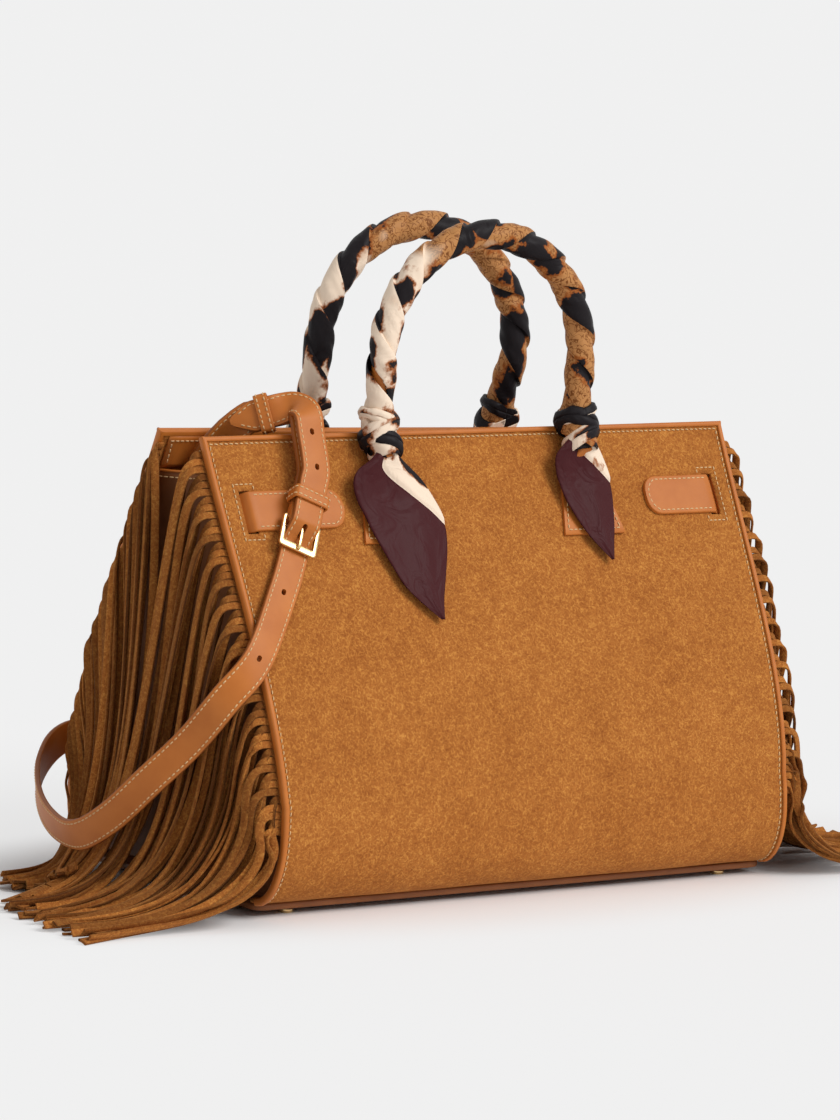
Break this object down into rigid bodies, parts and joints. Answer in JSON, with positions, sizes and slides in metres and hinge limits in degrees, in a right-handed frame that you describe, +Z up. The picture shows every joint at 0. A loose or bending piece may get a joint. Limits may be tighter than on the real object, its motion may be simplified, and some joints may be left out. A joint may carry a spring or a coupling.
{
  "type": "fringed tote bag",
  "caption": "Fringed suede tote with bowed panels, leather-bound edges, scarf-wrapped rolled handles, side tabs and a buckled shoulder strap.",
  "frame": {"origin": "on the ground under the middle of the base", "axes": "+X along the front panel towards its right end, -Y out of the front panel, +Z up"},
  "size_m": [0.675, 0.2491, 0.4137],
  "materials": {
    "suede": "napped suede, fully matte",
    "smooth_leather": "smooth calf, satin",
    "lining_leather": "soft lining leather, matte",
    "printed_satin": "printed satin, soft sheen",
    "pale_gold_plate": "polished pale gold plating"
  },
  "bodies": {
    "bag": {"front_panel": "suede", "back_panel": "suede", "fringe_front_left": "suede", "fringe_front_right": "suede", "fringe_back_left": "suede", "fringe_back_right": "suede", "binding_front": "smooth_leather", "binding_back": "smooth_leather", "facing_front": "smooth_leather", "facing_back": "smooth_leather", "handle_front": "smooth_leather", "handle_back": "smooth_leather", "base": "smooth_leather", "tab_left": "smooth_leather", "tab_right": "smooth_leather", "strap_long": "smooth_leather", "strap_short": "smooth_leather", "keeper_fixed": "smooth_leather", "gusset_left": "lining_leather", "gusset_right": "lining_leather", "scarf_front": "printed_satin", "scarf_back": "printed_satin", "foot_front_left": "pale_gold_plate", "foot_front_right": "pale_gold_plate", "foot_back_left": "pale_gold_plate", "foot_back_right": "pale_gold_plate"},
    "buckle": {"buckle_frame": "pale_gold_plate"},
    "prong": {"buckle_prong": "pale_gold_plate"},
    "loop": {"keeper_sliding": "smooth_leather"}
  },
  "joints": [
    {"name": "buckle_tilt", "type": "hinge", "parent": "bag", "child": "buckle", "pos_m": [-0.1478, -0.05834, 0.23315], "axis": [-0.8961, 0.2092, 0.3916], "range_deg": [0, 3]},
    {"name": "prong_lift", "type": "hinge", "parent": "buckle", "child": "prong", "pos_m": [-0.1478, -0.05834, 0.23315], "axis": [-0.8961, 0.2092, 0.3916], "range_deg": [0, 3]},
    {"name": "loop_slide", "type": "slide", "parent": "bag", "child": "loop", "axis": [0.776, -0.5514, 0.3063], "range_m": [-0.003, 0.001]}
  ]
}
